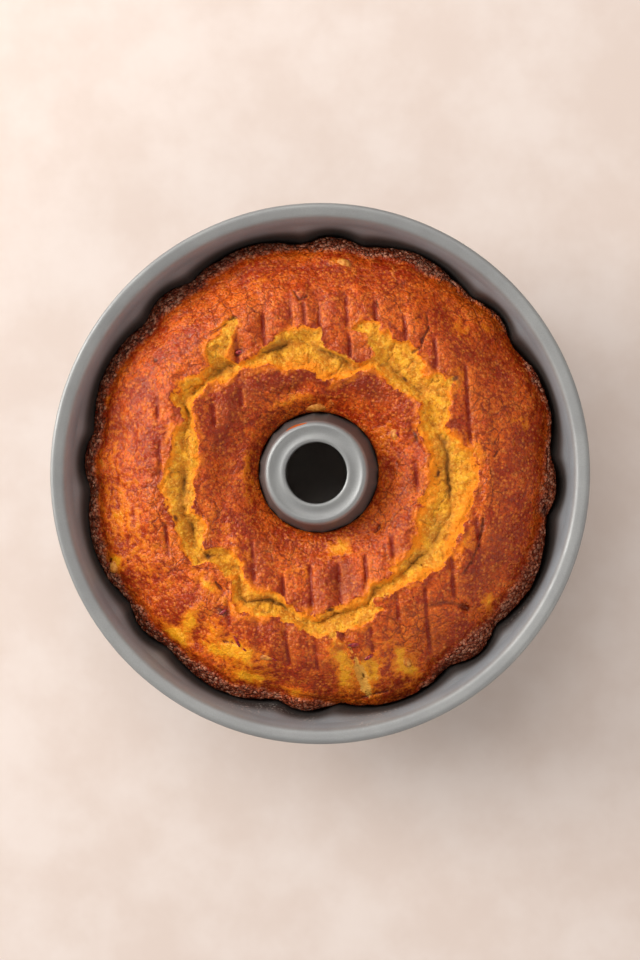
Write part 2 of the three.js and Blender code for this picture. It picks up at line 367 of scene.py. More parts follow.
CAMERA_DISTANCE = 675.5          # from the middle of the rim
CAMERA_TILT = 4.43               # degrees from straight above
CAMERA_SIDE = -10.0              # the side of the part that the camera leans to
CAMERA_ROLL = 3.3                # the part's angle that points right in the picture
CAMERA_AIM = (1.7, -3.3)         # right and up from the middle of the rim
CAMERA_LENS = 55.0


def make_camera():
    tilt, side, roll = (math.radians(angle) for angle in (CAMERA_TILT, CAMERA_SIDE, CAMERA_ROLL))
    lean = Vector((math.sin(tilt) * math.cos(side), math.sin(tilt) * math.sin(side), math.cos(tilt)))
    middle = Vector((0, 0, RIM_HEIGHT))
    upright = Vector((-math.sin(roll), math.cos(roll), 0))
    place = middle + lean * CAMERA_DISTANCE
    back = lean
    for _ in range(2):
        up = (upright - back * upright.dot(back)).normalized()
        right = up.cross(back)
        aim = middle + right * CAMERA_AIM[0] + up * CAMERA_AIM[1]
        back = (place - aim).normalized()
    data = bpy.data.cameras.new("camera")
    data.lens = CAMERA_LENS
    data.sensor_width = 36
    data.clip_end = 20
    camera = bpy.data.objects.new("camera", data)
    turn = Matrix((right, up, back)).transposed().to_4x4()
    camera.matrix_world = Matrix.Translation(place * MM) @ turn
    bpy.context.collection.objects.link(camera)
    bpy.context.scene.camera = camera


# Square lights that face the cake: name, place and side in metres, watts, tint
LIGHTS = [
    ("window", (-1.15, 0.36, 0.66), 0.8, 18.5, (1.0, 0.985, 0.96)),
    ("ceiling_bounce", (-0.25, 0.75, 1.5), 1.0, 9, (1.0, 0.975, 0.95)),
    ("room_fill", (1.1, -0.7, 0.9), 1.3, 4.5, (1.0, 0.97, 0.94)),
]
LIT_PLACE = (0, 0, 0.06)
ROOM_TINT = (1.0, 0.965, 0.93, 1)
ROOM_STRENGTH = 0.60             # of the light from the walls of the room
CEILING_STRENGTH = 0.10          # and from the darker ceiling straight above
CEILING_SPAN = (0.72, 0.97)      # how far up a direction points where one fades into the other


def area_light(name, place, side, watts, tint):
    data = bpy.data.lights.new(name, "AREA")
    data.shape = "RECTANGLE"
    data.size, data.size_y = side, side
    data.energy = watts
    data.color = tint
    light = bpy.data.objects.new(name, data)
    light.location = place
    light.rotation_euler = (Vector(place) - Vector(LIT_PLACE)).to_track_quat("Z", "Y").to_euler()
    bpy.context.collection.objects.link(light)


def make_light():
    for row in LIGHTS:
        area_light(*row)
    world = bpy.data.worlds.new("studio")
    world.use_nodes = True
    nodes, links = world.node_tree.nodes, world.node_tree.links
    background = nodes["Background"]
    background.inputs["Color"].default_value = ROOM_TINT
    direction = nodes.new("ShaderNodeSeparateXYZ")
    links.new(nodes.new("ShaderNodeTexCoord").outputs["Generated"], direction.inputs[0])
    fade = nodes.new("ShaderNodeMapRange")
    fade.interpolation_type = "SMOOTHSTEP"
    limits = (*CEILING_SPAN, ROOM_STRENGTH, CEILING_STRENGTH)
    for socket, value in zip(("From Min", "From Max", "To Min", "To Max"), limits):
        fade.inputs[socket].default_value = value
    links.new(direction.outputs["Z"], fade.inputs["Value"])
    links.new(fade.outputs[0], background.inputs["Strength"])
    bpy.context.scene.world = world
    bpy.context.scene.view_settings.view_transform = "Standard"
    bpy.context.scene.view_settings.look = "None"


FLOOR_HALF = 3000.0


def make_floor():
    corners = [(-1, -1, 0), (1, -1, 0), (1, 1, 0), (-1, 1, 0)]
    co = np.array(corners) * FLOOR_HALF
    floor = mesh_object("floor", co, np.array([[0, 1, 2, 3]]))
    look = Surface("floor_plaster", Roughness=0.85, Specular_IOR_Level=0.2)
    cloud = look.noise(60, detail=4, roughness=0.6)
    tone = look.blend(look.step(cloud, 0.35, 0.7), colour(220, 203, 193), colour(228, 214, 206))
    look.link(tone, "Base Color")
    floor.data.materials.append(look.material)


# ---- Pan ----

PAN_TURNS = 480
WALL_INSIDE = (100.0, 108.0)     # radii over which the wall's painted light and shade, and its baked film, fade in

# Marks on the pan: angle, radius, height, half length round the pan, half size across it
PAN_STAINS = [(12, 116, 72, 3.2, 1.2), (11, 115, 66, 2.4, 1.6), (50, 116.5, 74, 5, 0.9),
              (54, 115.5, 68, 1.6, 1.8), (42, 115, 66, 1, 2)]
PAN_SMEARS = [(122, 24.1, 86, 3.6, 1.5), (109, 23.6, 87, 3.4, 0.9)]
PAN_FLOUR = [(262, 114, 66, 9, 4), (271, 116, 72, 5, 6), (288, 116, 73, 10, 4), (284, 118.5, 80, 3, 3),
             (255, 115, 72, 9, 6), (330, 114, 66, 10, 3)]


def spot_at_height(radius, height, angle, row):
    """1 in the middle of a spot on the pan, fading out."""
    at_angle, at_radius, at_height, half_length, half_size = row
    round_the_pan = ((angle - at_angle + 180) % 360 - 180) * math.radians(1) * at_radius
    across = np.hypot(radius - at_radius, height - at_height)
    ragged = 0.35 * fractal(radius * cosd(angle), radius * sind(angle) + height, 2.2, 2, 81)
    return np.exp(-(round_the_pan / half_length) ** 2 - (across / half_size) ** 2) * (1 + ragged)


def make_pan():
    points, facing = pan_section()
    angle = np.arange(PAN_TURNS) * 360 / PAN_TURNS
    inside = fluted(points, facing, angle, 0)
    outside = fluted(points, facing, angle, -SHEET)
    radius = np.concatenate([inside[0], outside[0][::-1]])
    height = np.concatenate([inside[1], outside[1][::-1]])
    turn = np.broadcast_to(angle, radius.shape)
    masks = {name: sum(spot_at_height(radius, height, turn, row) for row in rows)
             for name, rows in (("stain", PAN_STAINS), ("smear", PAN_SMEARS), ("flour", PAN_FLOUR))}
    masks["inside"] = np.concatenate([np.ones_like(inside[0]), np.zeros_like(outside[0])])
    pan = ring_mesh("pan_metal_sheet", radius, height, angle, masks)
    pan.data.materials.append(pan_material())
    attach(pan, "root")
    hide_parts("pan")


def pan_material():
    look = Surface("pan_metal", Metallic=0.5, Roughness=0.42)
    cloud = look.noise(30, detail=5, roughness=0.6)
    fine = look.noise(0.5, detail=2)
    tone = look.blend(look.step(cloud, 0.3, 0.7), colour(142, 143, 143), colour(154, 155, 154))
    place = look.node("SeparateXYZ", {0: look.place}).outputs
    on_lip = look.step(place["Z"], (RIM_HEIGHT - 4) * MM, (RIM_HEIGHT - 1.5) * MM)
    above_cake = look.step(place["Z"], (EDGE_HEIGHT + 6) * MM, (COLLAR_HEIGHT + 1) * MM)
    from_middle = look.maths("SQRT", look.maths(
        "ADD", look.maths("POWER", place["X"], 2.0), look.maths("POWER", place["Y"], 2.0)))
    on_wall = look.step(from_middle, WALL_INSIDE[0] * MM, WALL_INSIDE[1] * MM)
    on_cone = look.step(place["Z"], (TUBE_TOP - 1.5) * MM, (TUBE_TOP - 5) * MM)
    inside = look.mask("inside")
    on_wall = look.times(on_wall, inside)
    # Painted light: the wall between the cake and the lip is painted a lighter blue-grey, standing in for the
    # light that falls on it.
    painted_collar_light = look.times(look.maths("SUBTRACT", above_cake, on_lip), on_wall)
    tone = look.blend(look.times(painted_collar_light, 0.7), tone, colour(162, 176, 184))
    # Partly baked-on film and partly painted shade: the wall below the collar, down to the cake, is painted
    # dark brown as the shade of the gap between wall and cake.
    baked = look.times(look.maths("SUBTRACT", 1.0, above_cake), on_wall)
    tone = look.blend(look.times(baked, 0.9), tone, colour(46, 37, 32))
    # Partly baked-on film and partly painted shade: the tube's cone under its shoulder, next to the cake, is
    # painted dark brown.
    tube_film_and_shade = look.times(look.maths("SUBTRACT", inside, on_wall), on_cone)
    tone = look.blend(look.times(tube_film_and_shade, 0.7), tone, colour(66, 52, 46))
    tone = look.layers(
        tone,
        (fine, 0.3, 0.8, 0.3, (128, 124, 120)),
        (look.mask("stain"), 0.35, 0.7, 0.8, (112, 66, 34)),
        (look.mask("smear"), 0.35, 0.6, 0.95, (208, 100, 16)),
    )
    flour = look.times(look.mask("flour"), look.step(look.noise(1.1, detail=3), 0.56, 0.66))
    tone = look.blend(look.times(flour, 0.8), tone, colour(214, 208, 200))
    look.link(tone, "Base Color")
    look.link(look.step(look.noise(12, detail=4), 0.3, 0.7, 0.58, 0.48), "Roughness")
    look.relief([(fine, 0.08, 0.05)])
    return look.material


# ---- Cake ----

CAKE_TURNS = 720

# The cake's edge at the tube, which leans to the tube and climbs it on one side
TUBE_EDGE_RADIUS = 29.0
TUBE_SIDE_END = 38.0
TUBE_LEAN = 0.6
TUBE_LEAN_AWAY = 105             # the angle with no lean
TUBE_CLIMB = 1.0
TUBE_CLIMB_AWAY = 130            # the angle with no climb

# The crack round the crown: angle, then the radii of its inner edge, of the cleft along it and
# of its outer edge
CRACK = [
    (0, 53, 61, 74.5), (6, 51, 60, 75), (12, 52, 60.5, 71.5), (17, 52, 60, 67),
    (23, 50.5, 58, 62.5), (27, 51.5, 57, 67), (31, 54.5, 60, 69.5), (36, 57, 61, 70),
    (41, 56.5, 60.5, 73), (45, 53.5, 59.5, 67.5), (51, 52, 59, 70.5), (57, 54.5, 60, 73),
    (64, 54.5, 61, 72), (70, 50, 53.5, 73.5), (76, 45, 53, 73.5), (80, 43.5, 53.5, 68),
    (86, 43, 56, 66), (92, 44.5, 57.5, 67.5), (98, 48, 59.5, 67.8), (105, 48.5, 60.5, 67),
    (112, 51.5, 61, 64.8), (118, 55, 61.5, 62.8), (124, 57, 61.3, 62.2), (129, 59.5, 61.5, 62.5),
    (134, 60.5, 65, 76), (138, 60, 66, 71.5), (144, 64.3, 67, 71.5), (150, 65.5, 69, 76.5),
    (156, 66.5, 70, 75.5), (160, 61.5, 65, 69), (165, 58.5, 64.5, 68.2), (172, 57, 63.5, 68.5),
    (180, 55.7, 62.3, 70), (188, 56.8, 62, 72.5), (196, 57.5, 63.5, 72), (201, 60, 64, 71),
    (205, 57.5, 64, 71), (210, 58, 64.5, 70.5), (215, 61.5, 65, 70.5), (218, 61.5, 64.5, 72),
    (220.5, 55, 63.5, 72.5), (222.5, 54, 61, 65.5), (226, 52.5, 59.5, 63.5), (231, 53.8, 58.6, 63),
    (235, 55.5, 58.3, 62), (237.5, 57, 62, 68), (240, 59, 66, 71), (245, 60, 68, 72.5),
    (250, 59.5, 64.5, 71), (254, 58.5, 62.5, 69), (258, 60.5, 63.5, 68.5),
    (263, 62.2, 66.5, 71), (268, 66, 69, 72.5), (275, 65.3, 68.5, 75.5), (280, 63, 64.8, 74),
    (288, 62.5, 65, 72), (295, 62, 64, 72), (299, 57.5, 60, 71), (305, 57.5, 59.5, 66.5),
    (312, 57.3, 59.7, 67), (320, 56, 61, 69), (326, 55.3, 61.5, 72.5), (334, 53.5, 62.3, 71.5),
    (341, 50.5, 62.5, 72), (348, 50.5, 63.5, 71), (354, 51.5, 63, 73.5),
]

# Tongues of crust that reach into the crack, and branches of the crack that reach into the crust:
# angle and radius of one end, angle and radius of the other, half the width at each end
TONGUES = [
    (84.5, 64, 72, 60, 7, 5),
    (305, 70, 299.5, 66.5, 4, 2),
    (161, 72, 163, 68, 3, 2),
]
BRANCHES = [
    (134, 72, 122, 80, 5.2, 2.8),
    (279.0, 75, 281.0, 80, 2.6, 0.6),
    (284.3, 80, 285.4, 92, 1.0, 1.5),
    (285.4, 92, 285.8, 106, 2.4, 2.0),
    (36.8, 71, 37.4, 76, 1.6, 0.6),
]

# Thin cracks, painted dark as shade: points as angle and radius
SLITS = [
    [(54.5, 71), (53.2, 75), (54.6, 78), (55.5, 84), (58.5, 89)],
    [(8.5, 82), (10, 83.5), (11, 86)],
    [(96.5, 82), (99, 80.5), (100.5, 84.5)],
    [(72.5, 81), (74, 84)],
    [(120, 80.5), (121.5, 82), (126, 80.5), (131, 80.8)],
    [(205, 105), (205.6, 108), (207.5, 110.5)],
    [(230.5, 69), (233, 69.6), (235.5, 69.2)],
    [(244, 90), (246, 88.5), (249, 87)],
    [(284, 107.6), (288, 106.8), (291, 107)],
    [(285.8, 98), (286, 96)],
    [(339, 81.5), (344, 80.3), (348, 79.2)],
    [(329, 81.8), (334, 82), (338, 81.3)],
    [(318, 38.6), (323.5, 38)],
]

# The crease over a sunken piece of peach, and the far end of the pit that it runs into
CREASE = [(314, 80.6), (318, 83.5), (320, 88), (320.8, 92)]
CREASE_PIT = (321.2, 93.5)

# How far the rim of the cake reaches beyond its nominal radius: angle, millimetres
EDGE_REACH = [
    (0, 0.2), (22, 0.2), (45, 0.8), (67, 1.0), (90, 0.9), (115, 1.4), (135, 2.4), (157, 2.2),
    (180, 2.4), (200, 2.0), (225, 1.6), (247, 1.4), (270, 0.4), (292, 1.3), (315, 1.2), (338, 0.3),
]

# Where the scorched band along the rim begins: angle, radius
SCORCH = [
    (0, 103), (9, 105), (15, 109), (35, 109.5), (45, 109), (55, 107.5), (70, 106), (82, 104.5),
    (90, 104), (100, 106), (115, 107), (125, 104.5), (135, 103.5), (147, 105), (160, 107),
    (175, 105.5), (190, 106), (205, 108), (215, 107), (225, 105), (240, 106), (252, 107),
    (262, 104), (272, 106.5), (280, 110), (285, 113), (297, 113), (303, 105), (310, 103),
    (325, 103.5), (340, 104), (350, 106), (355, 103.5),
]

# How far the crumb is toasted from the inner and from the outer edge of the crack: angle, both
TOAST = [
    (0, 6, 5), (10, 6, 4), (20, 5, 2), (35, 2, 1.5), (50, 2, 1.5), (60, 4, 1.5), (75, 7, 2),
    (90, 8, 2), (105, 6, 1), (115, 3, 1), (130, 1.5, 1.5), (150, 1.5, 2), (165, 1.5, 2.5),
    (180, 1.5, 3), (200, 2, 2), (220, 1.5, 1), (232, 2, 1.5), (240, 2, 3), (250, 1.5, 2),
    (262, 2, 1), (275, 2, 1.5), (290, 3, 1), (300, 2, 2), (315, 2, 3), (330, 4, 5),
    (345, 4, 6), (355, 5, 6),
]

# Marks pressed by the wires of a cooling rack: which wire, and how far along it each mark
# starts and ends. Wire 0 passes RACK_PHASE from the middle.
RACK_SPACING = 13.05
RACK_PHASE = 6.5
RACK_ANGLE = 97.6                # direction of the wires
MARKS = [
    (-6, 30, 43), (-6, 4, 20), (-6, -34, -18), (-4, 25, 36), (-4, -68, -55), (-3, 33, 42),
    (-3, 47, 68), (-3, -48, -29), (-3, -73, -59), (-2, 60, 77), (-2, -57, -46), (-2, -89, -64),
    (-1, 67, 81), (-1, -65, -42), (-1, -92, -74), (-0.5, 68, 80), (0, 66, 80), (0, -63, -42),
    (0, -80, -71), (1, 66, 81), (1, 50, 64), (1, -54, -39), (1, -85, -71), (2, 66, 78),
    (2, -47, -30), (2, -71, -57), (3, 56, 70), (3, -10, 2), (3, -89, -56), (4, 41, 58),
    (4, -63, -41), (5, 8, 45), (5, -42, -25),
]

# Dents and swellings: angle, radius, half length round the ring, half width across it, height
LUMPS = [
    (178, 43, 17, 5.5, -3.2),
    (181, 34.5, 15, 3.0, 1.6),
    (115, 40, 8, 3.0, -2.0),
    (95, 36.5, 9, 3.0, 1.5),
    (37, 49, 6, 5, 1.6),
    (36, 40, 6, 3, -1.4),
    (60, 48, 8, 5, 1.2),
    (322, 38.5, 3.5, 1.6, -2.0),
    (286, 53, 5, 7, -2.2),
    (276, 55, 6, 6, 0.8),
    (252, 94, 14, 4, 1.3),
    (240, 98, 16, 2.5, -1.2),
    (292, 98, 6, 8, 1.2),
    (284, 96, 3, 14, -1.5),
    (208, 101, 9, 5, 1.2),
    (231, 84, 7, 8, 1.4),
    (237, 92, 4, 8, -1.2),
    (318, 92, 6, 5, 1.4),
    (120, 85, 10, 5, 0.8),
    (150, 82, 10, 4, 0.9),
    (0, 79, 10, 2.5, 1.0),
    (47, 79, 10, 4, 0.8),
]

# Pale, thin-skinned patches of crust: angle, radius, half length, half width, strength
THIN = [
    (232, 102, 8, 3.0, 1.0), (232.3, 91, 3, 8, 1.0), (248.5, 91.5, 8, 5, 1.1),
    (242, 96, 5, 2.4, 0.7), (253.5, 102, 7, 3.4, 0.9), (257, 99, 4, 2, 0.6), (267, 103, 6, 3, 0.7),
    (240, 86, 3, 6, 0.5), (229, 72.5, 8, 2.6, 0.9), (243, 74, 7, 2.4, 0.6), (235, 64, 4, 3, 0.6),
    (190, 97, 40, 14, 0.26), (206, 88, 26, 10, 0.22), (225, 51, 14, 6, 0.3),
    (250, 94, 30, 11, 0.28), (262, 47, 8, 3, 0.35), (281.5, 95, 3.6, 11, 0.95),
    (280, 83, 3.5, 5, 0.7), (288.5, 93.5, 4, 4.5, 1.0), (287, 101.5, 3, 8, 0.9),
    (298, 97, 3.5, 9, 0.95), (290, 92, 22, 14, 0.25), (325.5, 99.5, 4.5, 3.5, 0.7),
    (17.5, 98, 2.5, 5, 0.45), (49, 94, 7, 5, 0.4), (44, 103, 3.5, 2, 0.4), (37, 77, 5, 6, 0.7),
    (109, 94, 6, 3.5, 0.35), (10, 73.5, 12, 3, 0.6), (338, 76, 12, 3, 0.6),
    (112, 37, 11, 2.5, 0.6), (180, 34.5, 14, 3.2, 0.45), (290.5, 36.5, 7, 4.5, 0.85),
    (30, 36.5, 7, 4, 0.5), (196, 97, 3, 4, 0.35), (86, 98, 6, 4, 0.3), (164, 106.5, 3, 2, 0.5),
    (150, 83, 8, 3, 0.3), (207, 105, 3.5, 4, 0.9),
]

# Patches that browned more than the rest: angle, radius, half length, half width, strength
BROWNED = [
    (100, 46, 24, 5, 0.9), (140, 51, 14, 6, 0.8), (62, 47, 16, 6, 0.8), (78, 61, 7, 5, 0.6),
    (22, 67, 5, 4, 0.8), (47, 71, 5, 3, 0.7), (285, 52, 10, 9, 0.8), (165, 49, 8, 5, 0.5),
    (10, 97, 26, 9, 0.45), (335, 96, 22, 8, 0.4), (38, 96, 22, 7, 0.4), (265, 97, 16, 4, 0.5),
    (310, 100, 14, 7, 0.5), (216, 60, 5, 4, 0.6), (262, 82, 5, 8, 0.4), (118, 102, 30, 3, 0.5),
    (355, 42, 9, 6, 0.4), (244, 50, 8, 6, 0.3), (128, 74, 5, 5, 0.5), (305, 76, 10, 4, 0.5),
]

# Dark purple-brown spots where peach skin or juice lies under the crust
STAINS = [
    (126, 66.7, 2.2, 1.4), (239, 77.8, 2.4, 1.2), (37.3, 77, 1.0, 1.6), (23.5, 48.7, 2.6, 0.7),
    (3, 56, 1.6, 0.7), (201, 68.7, 1.6, 0.7), (220.8, 63.9, 1.2, 1.0), (279, 63.4, 1.6, 0.8),
    (50, 59.4, 1.4, 0.6), (306, 109, 0.8, 1.0), (354, 107, 2.2, 1.2), (148.5, 92.5, 1.0, 1.0),
]


def catmull_rom(points, count):
    """A smooth curve through the points, of the same kind as the CAD model's."""
    points = np.array(points, dtype=float)
    t = np.linspace(0, len(points) - 1, count)
    part = np.minimum(t.astype(int), len(points) - 2)
    t = (t - part)[:, None]
    before = points[np.maximum(part - 1, 0)]
    start, end = points[part], points[part + 1]
    after = points[np.minimum(part + 2, len(points) - 1)]
    leave, arrive = (end - before) / 2, (after - start) / 2
    return ((2 * start - 2 * end + leave + arrive) * t ** 3
            + (-3 * start + 3 * end - 2 * leave - arrive) * t ** 2 + leave * t + start)


CRUST_CURVE = catmull_rom([
    (27, TUBE_EDGE_HEIGHT - 2), (40, 79.5), (INNER_CROWN_RADIUS, CROWN_HEIGHT - 0.8),
    (CROWN_RADIUS, CROWN_HEIGHT), (98, 74), (107, 67.5), (EDGE_RADIUS, EDGE_HEIGHT + 2.5),
], 400)


def round_table(rows, column, angle):
    """A column of rows that start with an angle, read off between them all the way round."""
    rows = np.array(rows, dtype=float)
    return np.interp(angle % 360, rows[:, 0], rows[:, column], period=360)


def at(angle, radius):
    return np.array([radius * cosd(angle), radius * sind(angle)])


def spur_distance(x, y, spur):
    """How deep a point lies inside a tapered spur; negative outside it."""
    start, end = at(spur[0], spur[1]), at(spur[2], spur[3])
    way = end - start
    t = np.clip(((x - start[0]) * way[0] + (y - start[1]) * way[1]) / way.dot(way), 0, 1)
    return mix(spur[4], spur[5], t) - np.hypot(x - start[0] - t * way[0], y - start[1] - t * way[1])


def path_distance(x, y, path):
    """Distance from a path of (angle, radius) points."""
    nearest = np.full(x.shape, 1e9)
    for first, last in zip(path, path[1:]):
        nearest = np.minimum(nearest, -spur_distance(x, y, (*first, *last, 0, 0)))
    return nearest


def spot(radius, angle, middle):
    """1 in the middle of an oval spot (angle, radius, half length, half width), fading out."""
    round_the_ring = ((angle - middle[0] + 180) % 360 - 180) * math.radians(1) * radius
    return np.exp(-(round_the_ring / middle[2]) ** 2 - ((radius - middle[1]) / middle[3]) ** 2)


def ring_radii():
    """Nominal radii of the mesh's rings, closest together across the crack."""
    return np.concatenate([
        np.linspace(TUBE_EDGE_RADIUS, 43, 16, endpoint=False),
        np.linspace(43, 80, 64, endpoint=False),
        np.linspace(80, EDGE_RADIUS, 42),
    ])


def outer_edge(angle):
    """Radius of the cake's rim, which the flutes of the pan shape into lobes."""
    crest = flute_crest(angle, 0, 1.1)
    depth = flute_depth(np.array(EDGE_RADIUS), np.array(EDGE_HEIGHT))
    x, y = at(angle, EDGE_RADIUS)
    rough = 0.7 * fractal(x, y, 9, 2, 5) + 0.35 * fractal(x, y, 2.4, 2, 6)
    return EDGE_RADIUS + round_table(EDGE_REACH, 1, angle) - depth * (1 - crest) + rough


def cake_top():
    """Radius, height and masks of the cake's top, ring by ring."""
    angle = np.arange(CAKE_TURNS) * 360 / CAKE_TURNS
    nominal, turn = np.meshgrid(ring_radii(), angle, indexing="ij")
    outward = smooth(CROWN_RADIUS, EDGE_RADIUS, nominal)
    radius = nominal - (EDGE_RADIUS - outer_edge(turn)) * outward
    tube_side = 1 - smooth(TUBE_EDGE_RADIUS, TUBE_SIDE_END, nominal)
    radius = radius - tube_side * (TUBE_LEAN - TUBE_LEAN * cosd(turn - TUBE_LEAN_AWAY))
    height = np.interp(nominal, CRUST_CURVE[:, 0], CRUST_CURVE[:, 1])
    height += tube_side * TUBE_CLIMB * (1 - cosd(turn - TUBE_CLIMB_AWAY))
    x, y = radius * cosd(turn), radius * sind(turn)

    inland = smooth(0, 20, EDGE_RADIUS - nominal) * smooth(28, 40, nominal)
    swell = sind(3 * turn + np.degrees(nominal / 14)) + 0.6 * sind(5 * turn - np.degrees(nominal / 9))
    height = height + CROWN_SWELL * swell * inland
    bumps = 0.9 * fractal(x, y, 26, 2, 11) + 0.8 * fractal(x, y, 10, 3, 12) + 0.45 * fractal(x, y, 4.5, 2, 13)
    height += bumps * (0.3 + 0.7 * inland)
    for lump in LUMPS:
        height += lump[4] * spot(radius, turn, lump)

    crack = crack_field(x, y, radius, turn)
    rack = rack_field(x, y, crack["depth_in"])
    height += crack["relief"] - 1.2 * rack["groove"] + 0.7 * rack["ridge_and_highlight"] + 0.7 * rack["pillow"]
    slits = slit_field(x, y)
    height += slits["relief"]

    crust = 1 - smooth(-0.3, 0.5, crack["depth_in"])
    grain = fractal(x, y, 2.6, 2, 21)
    fine = lattice_noise(x / 1.15, y / 1.15, 22)
    height += crust * (0.32 * grain + 0.18 * fine) + (1 - crust) * 0.45 * fractal(x, y, 2.2, 2, 23)

    past_scorch = radius - round_table(SCORCH, 1, turn) + 2.0 * fractal(x, y, 7, 3, 33)
    ruffle = 1.1 * fractal(x, y, 5, 3, 34) - 1.1 * bell(past_scorch, 1.6)
    height += smooth(96, 106, nominal) * ruffle
    masks = patch_masks(x, y, radius, turn)
    height -= 0.8 * masks["stain"]
    masks |= {
        "crumb": crack["depth_in"],
        "shaded_cleft": np.clip(crack["shaded_cleft"] + slits["shaded_cleft"], 0, 1),
        "toast": crack["toast"],
        "hollow": crack["hollow"],
        "scorch": smooth(-1.5, 3.5, past_scorch),
        "groove": rack["groove"],
        "ridge_and_highlight": rack["ridge_and_highlight"],
    }
    return radius, height, angle, masks


def slit_field(x, y):
    """The relief of the thin cracks and of the crease with its pit, and where they are painted dark as shade.
    """
    slit = np.zeros_like(x)
    for path in SLITS:
        off_path = path_distance(x, y, path) + 0.6 * fractal(x, y, 2.5, 2, 41)
        slit = np.maximum(slit, bell(off_path, 0.6))
    crease = bell(path_distance(x, y, CREASE), 1.5)
    pit = bell(path_distance(x, y, [CREASE[-1], CREASE_PIT]), 1.5)
    return {"relief": -(1.3 * slit + 1.0 * crease + 2.2 * pit), "shaded_cleft": slit + 1.2 * pit + 0.7 * crease}


def patch_masks(x, y, radius, turn):
    """Where the crust is thin, browned or stained, and where the crumb is pale."""
    uneven_turn = turn + 1.5 * fractal(x, y, 7, 2, 35)
    uneven_radius = radius + 2.2 * fractal(x, y, 7, 2, 36)
    masks = {}
    for name, rows in (("thin", THIN), ("browned", BROWNED)):
        masks[name] = sum(row[4] * spot(uneven_radius, uneven_turn, row) for row in rows)
    masks["stain"] = sum(spot(radius, turn, (*row[:2], 1.5 * row[2], 1.5 * row[3])) for row in STAINS)
    for name in masks:
        masks[name] = np.clip(masks[name], 0, 1)
    bottom = smooth(255, 270, turn) * (1 - smooth(300, 310, turn))
    masks["pale"] = 0.75 * smooth(72, 82, radius) * bottom
    return masks


def crack_field(x, y, radius, angle):
    """How deep each point lies inside the crack, the crack's relief, its cleft painted dark as shade, and a
    soft painted shade along the cleft.
    """
    inner = round_table(CRACK, 1, angle)
    cleft_at = round_table(CRACK, 2, angle) + 1.7 * fractal(x, y, 7, 3, 53)
    cleft_at += 0.8 * fractal(x, y, 2.6, 2, 58)
    outer = round_table(CRACK, 3, angle)
    rag = 2.8 * fractal(x, y, 6, 3, 51) + 1.1 * fractal(x, y, 2.2, 2, 52)
    from_outer = outer - radius + rag
    from_inner = radius - inner + rag
    depth_in = np.minimum(from_outer, from_inner)
    for tongue in TONGUES:
        depth_in = np.minimum(depth_in, -(spur_distance(x, y, tongue) + 0.8 * rag))
    toast = np.maximum(np.exp(-from_inner / round_table(TOAST, 1, angle)),
                       np.exp(-from_outer / round_table(TOAST, 2, angle)))
    toast = np.clip(toast, 0, 1)
    for branch in BRANCHES:
        in_branch = spur_distance(x, y, branch) + 0.75 * rag
        toast = np.where(in_branch > depth_in, np.exp(-np.maximum(in_branch, 0) / 0.9), toast)
        depth_in = np.maximum(depth_in, in_branch)

    crust_lift = 0.9 * np.exp(np.minimum(depth_in, 0) / 2.2)
    step_height = 1.1 + 0.9 * fractal(x, y, 9, 2, 54)
    step_down = step_height * smooth(-0.3, 0.7, depth_in)
    to_cleft = np.abs(radius - cleft_at)
    width = np.where(radius > cleft_at, outer - cleft_at, cleft_at - inner)
    slope = 1 - smooth(0, 1, to_cleft / np.maximum(width, 2.5))
    valley = np.clip(0.42 * width, 0.8, 2.6) * slope * smooth(0, 3, depth_in)
    along = 0.45 + 1.1 * fractal(x, y, 12, 2, 55)
    shaded_cleft = bell(to_cleft, 0.9 + 0.5 * fractal(x, y, 6, 2, 59)) * smooth(0.2, 1.2, depth_in)
    shaded_cleft *= np.clip(along, 0, 1)
    # Painted shade: a soft band along the cleft, which darkens the crumb's colour like a shadowed valley.
    hollow = bell(to_cleft, 3.4) * smooth(0, 2.5, depth_in) * smooth(6, 14, outer - inner)
    hollow *= np.clip(0.3 + along, 0, 1)
    side_crack = bell(fractal(x, y, 9, 3, 57), 0.055) * smooth(1, 2.5, depth_in)
    lumps = 1.2 * fractal(x, y, 5.5, 3, 56) * smooth(0, 2, depth_in)
    relief = crust_lift - step_down - valley - 2.2 * shaded_cleft - 0.9 * side_crack + lumps
    shaded_cleft = np.maximum(shaded_cleft, 0.6 * side_crack)
    return {"depth_in": depth_in, "relief": relief, "shaded_cleft": shaded_cleft, "toast": toast, "hollow": hollow}


def rack_field(x, y, depth_in):
    """Grooves pressed by the rack's wires, and the soft ridges beside them."""
    across = x * sind(RACK_ANGLE) - y * cosd(RACK_ANGLE) - RACK_PHASE
    along = x * cosd(RACK_ANGLE) + y * sind(RACK_ANGLE)
    across += 0.45 * fractal(x, y, 9, 3, 61)
    uneven = 0.9 + 0.6 * fractal(x, y, 5, 2, 62)
    groove, ridge_and_highlight = np.zeros_like(x), np.zeros_like(x)
    for wire, first, last in MARKS:
        off = across - wire * RACK_SPACING
        share = smooth(first - 1.5, first + 2.5, along) * (1 - smooth(last - 2.5, last + 1.5, along))
        groove = np.maximum(groove, share * bell(off, 1.15))
        ridge_and_highlight = np.maximum(ridge_and_highlight, share * (smooth(0.4, 1.6, off) * np.exp(-np.maximum(off, 0) / 2.6)))
    on_crust = 1 - smooth(-0.8, 0.2, depth_in)
    uneven = on_crust * np.clip(uneven, 0, 1)
    radius = np.hypot(x, y)
    rested = smooth(42, 50, radius) * (1 - smooth(84, 95, radius))
    pillow = rested * on_crust * (0.6 + 0.8 * fractal(x, y, 20, 2, 63))
    pillow = -pillow * np.cos(2 * np.pi * across / RACK_SPACING)
    return {"groove": groove * uneven, "ridge_and_highlight": ridge_and_highlight * uneven, "pillow": pillow}


